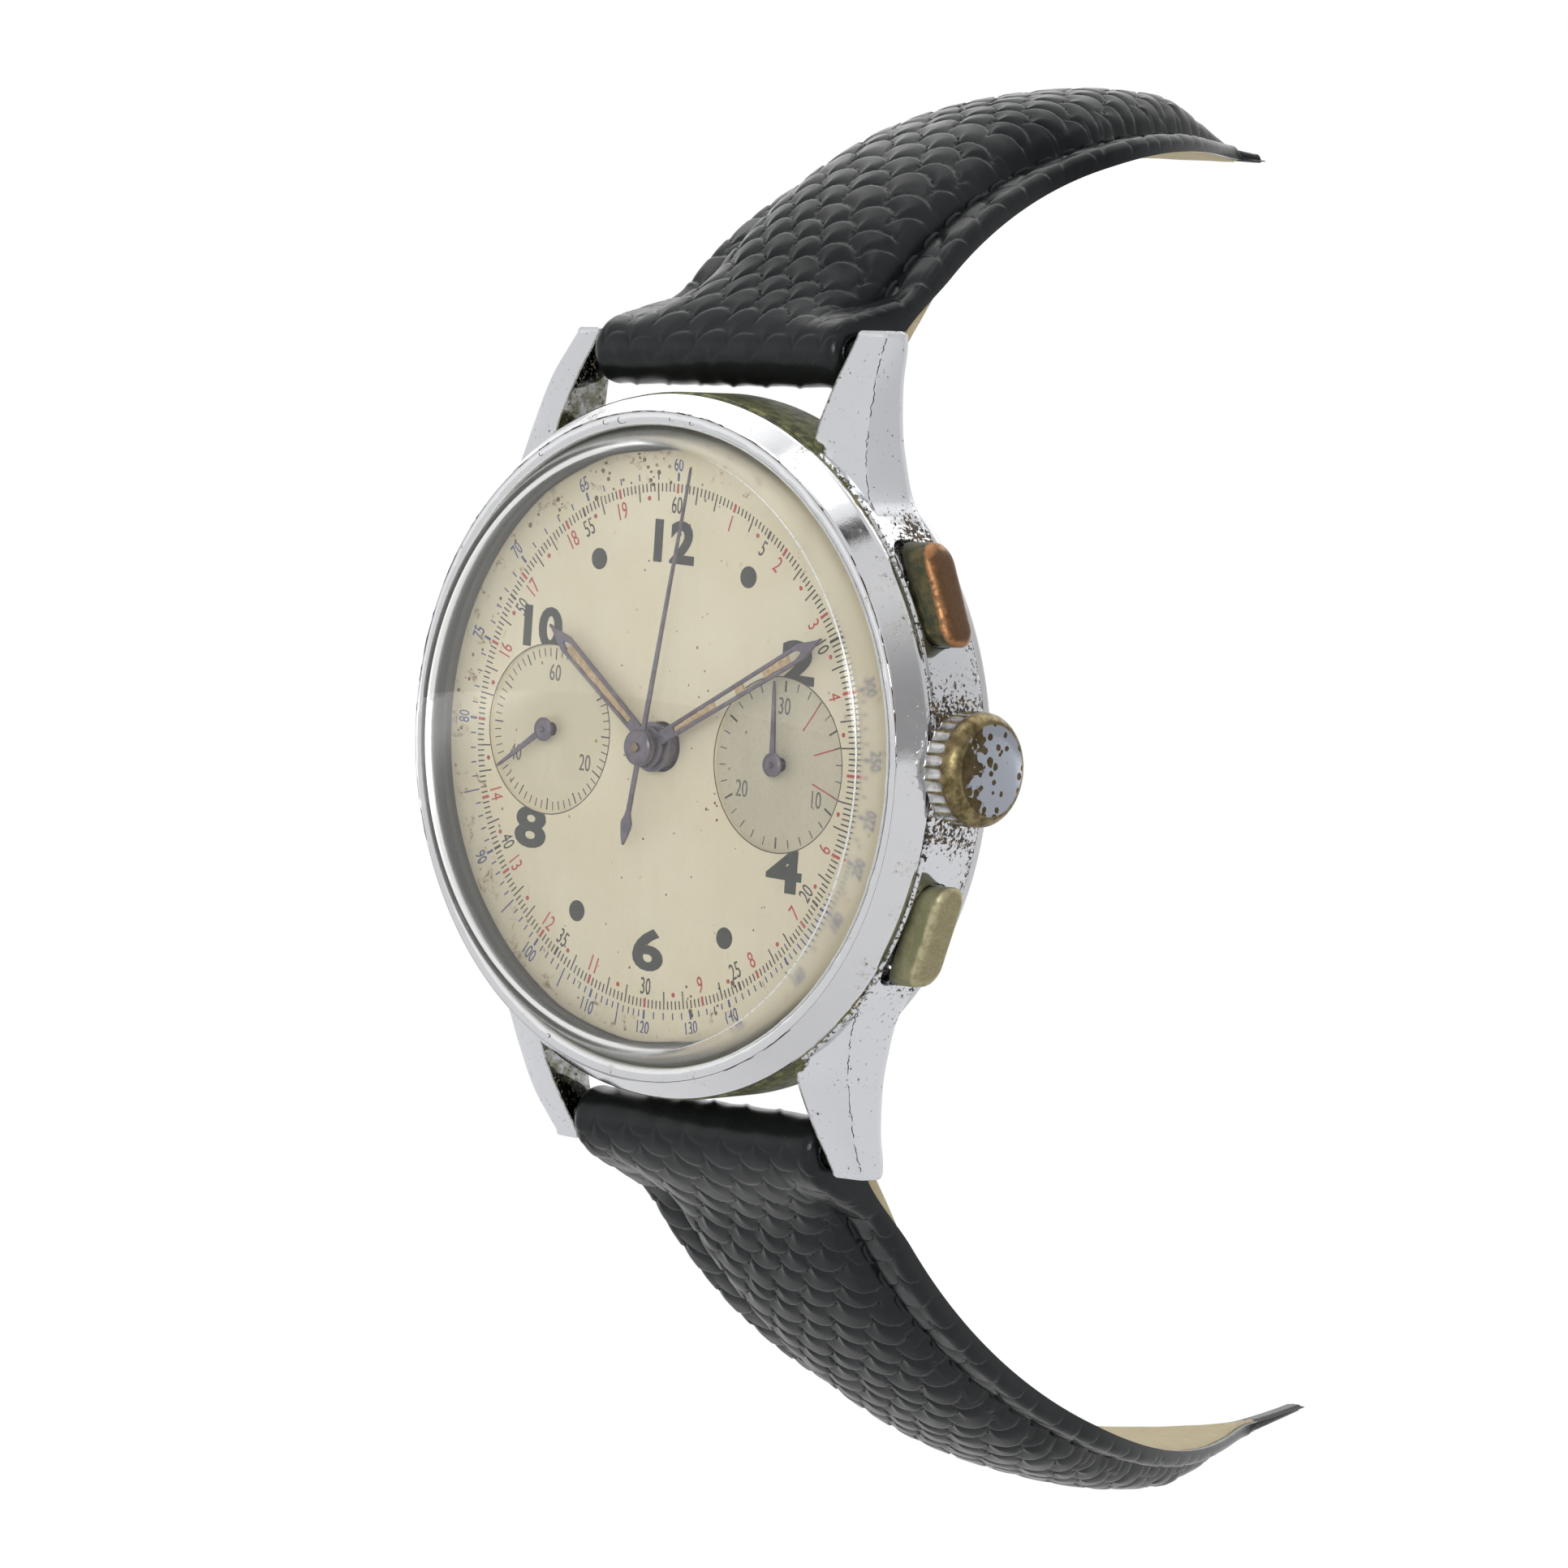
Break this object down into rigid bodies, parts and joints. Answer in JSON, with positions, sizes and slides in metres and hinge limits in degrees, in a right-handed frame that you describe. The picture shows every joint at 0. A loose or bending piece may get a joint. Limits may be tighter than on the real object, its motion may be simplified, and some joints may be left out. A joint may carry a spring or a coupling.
{
  "type": "chronograph wristwatch",
  "caption": "Hand-wound two-register chronograph wristwatch with domed crystal, pushers, worn chromed case and padded black leather strap halves.",
  "frame": {"origin": "centre of the case back's flat outer face, on the case axis", "axes": "upright: +Z to 12 o'clock, +X to 3 o'clock (crown side), the dial faces -Y and the case back faces +Y"},
  "size_m": [0.0387, 0.0588, 0.0782],
  "materials": {
    "chrome": "plated, pitted",
    "worn_brass": "worn plating",
    "acrylic": "clear",
    "dial_paint": "aged, matt",
    "blued_steel": "blued",
    "leather": "glossy grain",
    "lining": "matt",
    "gasket": "matt",
    "nickel": "nickel plated",
    "gilt": "gilt",
    "steel": "polished"
  },
  "bodies": {
    "case": {"midcase": "chrome", "bezel": "chrome", "crystal": "acrylic", "caseback": "chrome", "caseback_gasket": "gasket", "movement_ring": "nickel", "dial": "dial_paint", "crown_tube": "steel", "mainplate": "nickel", "barrel_bridge": "nickel", "train_bridge": "nickel", "balance_cock": "nickel", "chronograph_bridge": "nickel", "mainspring": "steel", "hairspring": "blued_steel", "casing_screw_upper": "steel", "casing_screw_lower": "steel", "start_pusher_spring": "steel", "reset_pusher_spring": "steel", "upper_spring_bar": "steel", "lower_spring_bar": "steel"},
    "seconds": {"fourth_wheel": "gilt", "running_seconds_hand": "blued_steel"},
    "minutes": {"centre_wheel": "gilt", "cannon_pinion": "steel", "minute_hand": "blued_steel"},
    "hours": {"hour_wheel": "gilt", "hour_hand": "blued_steel"},
    "motion_wheel": {"minute_wheel": "gilt"},
    "third": {"third_wheel": "gilt"},
    "escape": {"escape_wheel": "steel"},
    "barrel": {"mainspring_barrel": "gilt"},
    "chronograph": {"chronograph_wheel": "gilt", "chronograph_hand": "blued_steel"},
    "minute_counter": {"minute_counter_wheel": "gilt", "minute_counter_hand": "blued_steel"},
    "intermediate": {"intermediate_wheel": "gilt"},
    "coupling": {"coupling_lever": "steel"},
    "coupling_runner": {"coupling_wheel": "gilt"},
    "winding": {"winding_pinion": "steel", "sliding_pinion": "steel"},
    "crown_stem": {"crown": "worn_brass", "winding_stem": "steel"},
    "crown_gear": {"crown_wheel": "steel"},
    "ratchet": {"ratchet_wheel": "steel"},
    "setting": {"setting_lever": "steel"},
    "pawl": {"click": "steel"},
    "start_button": {"start_pusher": "worn_brass"},
    "start_work": {"start_lever": "steel"},
    "column": {"column_wheel": "steel"},
    "reset_button": {"reset_pusher": "worn_brass"},
    "hammer": {"reset_hammer": "steel"},
    "balance": {"balance_wheel": "gilt"},
    "pallet": {"pallet_fork": "steel"},
    "upper_band": {"upper_strap": "leather", "upper_strap_lining": "lining"},
    "lower_band": {"lower_strap": "leather", "lower_strap_lining": "lining"}
  },
  "joints": [
    {"name": "running_seconds", "type": "hinge", "parent": "case", "child": "seconds", "pos_m": [-0.00814, -0.008, 0.00043], "axis": [0, 1, 0], "continuous": true},
    {"name": "minute", "type": "hinge", "parent": "case", "child": "minutes", "pos_m": [0, -0.0087, 0], "axis": [0, 1, 0], "continuous": true},
    {"name": "hour", "type": "hinge", "parent": "case", "child": "hours", "pos_m": [0, -0.0083, 0], "axis": [0, 1, 0], "continuous": true},
    {"name": "motion_wheel_turn", "type": "hinge", "parent": "case", "child": "motion_wheel", "pos_m": [0.00136, -0.0066, -0.00267], "axis": [0, 1, 0], "continuous": true},
    {"name": "third_turn", "type": "hinge", "parent": "case", "child": "third", "pos_m": [-0.00462, -0.0048, -0.00232], "axis": [0, 1, 0], "continuous": true},
    {"name": "escape_turn", "type": "hinge", "parent": "case", "child": "escape", "pos_m": [-0.00856, -0.0047, 0.00386], "axis": [0, 1, 0], "continuous": true},
    {"name": "barrel_turn", "type": "hinge", "parent": "case", "child": "barrel", "pos_m": [0.00435, -0.005, 0.00391], "axis": [0, 1, 0], "continuous": true},
    {"name": "chronograph_seconds", "type": "hinge", "parent": "case", "child": "chronograph", "pos_m": [0, -0.0091, 0], "axis": [0, 1, 0], "continuous": true},
    {"name": "minute_count", "type": "hinge", "parent": "case", "child": "minute_counter", "pos_m": [0.00814, -0.008, -0.00043], "axis": [0, 1, 0], "continuous": true},
    {"name": "intermediate_turn", "type": "hinge", "parent": "case", "child": "intermediate", "pos_m": [0.0039, -0.00165, -0.00245], "axis": [0, 1, 0], "continuous": true},
    {"name": "crown_turn", "type": "hinge", "parent": "case", "child": "winding", "pos_m": [0.0112, -0.00575, 0], "axis": [1, 0, 0], "continuous": true},
    {"name": "crown_pull", "type": "slide", "parent": "winding", "child": "crown_stem", "axis": [1, 0, 0], "range_m": [0, 0.0008]},
    {"name": "crown_wheel_turn", "type": "hinge", "parent": "case", "child": "crown_gear", "pos_m": [0.0105, -0.0025, 0], "axis": [0, 1, 0], "continuous": true},
    {"name": "ratchet_turn", "type": "hinge", "parent": "case", "child": "ratchet", "pos_m": [0.00435, -0.0025, 0.00391], "axis": [0, 1, 0], "continuous": true},
    {"name": "setting_swing", "type": "hinge", "parent": "case", "child": "setting", "pos_m": [0.0136, -0.005, 0.0023], "axis": [0, -1, 0], "range_deg": [0, 30]},
    {"name": "click_lift", "type": "hinge", "parent": "case", "child": "pawl", "pos_m": [0.0088, -0.0025, 0.0085], "axis": [0, 1, 0], "range_deg": [0, 6], "stiffness_Nm_per_rad": 0.0001},
    {"name": "start_push", "type": "slide", "parent": "case", "child": "start_button", "axis": [-1, 0, 0], "range_m": [0, 0.001], "stiffness_N_per_m": 3000, "springref_m": -0.0002, "deforming": ["start_pusher_spring"]},
    {"name": "start_lever_swing", "type": "hinge", "parent": "case", "child": "start_work", "pos_m": [0.0116, -0.002, 0.0039], "axis": [0, -1, 0], "range_deg": [0, 13]},
    {"name": "column_step", "type": "hinge", "parent": "case", "child": "column", "pos_m": [0.0056, -0.002, 0.0106], "axis": [0, 1, 0], "range_deg": [0, 31]},
    {"name": "coupling_swing", "type": "hinge", "parent": "case", "child": "coupling", "pos_m": [-0.00814, -0.002, 0.00043], "axis": [0, 1, 0], "range_deg": [0, 13.8]},
    {"name": "coupling_wheel_turn", "type": "hinge", "parent": "coupling", "child": "coupling_runner", "pos_m": [-0.00463, -0.00165, 0.00111], "axis": [0, 1, 0], "continuous": true},
    {"name": "reset_push", "type": "slide", "parent": "case", "child": "reset_button", "axis": [-1, 0, 0], "range_m": [0, 0.001], "stiffness_N_per_m": 3000, "springref_m": -0.0002, "deforming": ["reset_pusher_spring"]},
    {"name": "hammer_swing", "type": "hinge", "parent": "case", "child": "hammer", "pos_m": [0.0116, -0.002, -0.0039], "axis": [0, 1, 0], "range_deg": [0, 13]},
    {"name": "balance_swing", "type": "hinge", "parent": "case", "child": "balance", "pos_m": [-0.00576, -0.0032, 0.00851], "axis": [0, 1, 0], "range_deg": [-270, 270], "stiffness_Nm_per_rad": 0.0000003},
    {"name": "pallet_rock", "type": "hinge", "parent": "case", "child": "pallet", "pos_m": [-0.00743, -0.0047, 0.00575], "axis": [0, 1, 0], "range_deg": [-5, 5]},
    {"name": "upper_strap_swing", "type": "hinge", "parent": "case", "child": "upper_band", "pos_m": [0, -0.00335, 0.0202], "axis": [1, 0, 0], "range_deg": [-25, 53]},
    {"name": "lower_strap_swing", "type": "hinge", "parent": "case", "child": "lower_band", "pos_m": [0, -0.00335, -0.0202], "axis": [-1, 0, 0], "range_deg": [-25, 41]}
  ],
  "couplings": [
    {"joint": "minute", "follows": "running_seconds", "ratio": 0.016667},
    {"joint": "hour", "follows": "running_seconds", "ratio": 0.0013889},
    {"joint": "motion_wheel_turn", "follows": "running_seconds", "ratio": -0.0055556},
    {"joint": "third_turn", "follows": "running_seconds", "ratio": -0.13333},
    {"joint": "escape_turn", "follows": "running_seconds", "ratio": -10},
    {"joint": "barrel_turn", "follows": "running_seconds", "ratio": -0.0020833},
    {"joint": "coupling_wheel_turn", "follows": "running_seconds", "ratio": -1.2727},
    {"joint": "minute_count", "follows": "chronograph_seconds", "ratio": 0.033333},
    {"joint": "intermediate_turn", "follows": "chronograph_seconds", "ratio": -0.07},
    {"joint": "crown_wheel_turn", "follows": "crown_turn", "ratio": -0.73684},
    {"joint": "ratchet_turn", "follows": "crown_turn", "ratio": 0.40936},
    {"joint": "setting_swing", "follows": "crown_pull", "rad_per_m": 645},
    {"joint": "start_lever_swing", "follows": "start_push", "rad_per_m": 219.78},
    {"joint": "column_step", "follows": "start_push", "rad_per_m": 523.6},
    {"joint": "coupling_swing", "follows": "start_push", "rad_per_m": 235.62},
    {"joint": "hammer_swing", "follows": "reset_push", "rad_per_m": 219.78},
    {"joint": "pallet_rock", "follows": "balance_swing", "ratio": 0.018333}
  ]
}
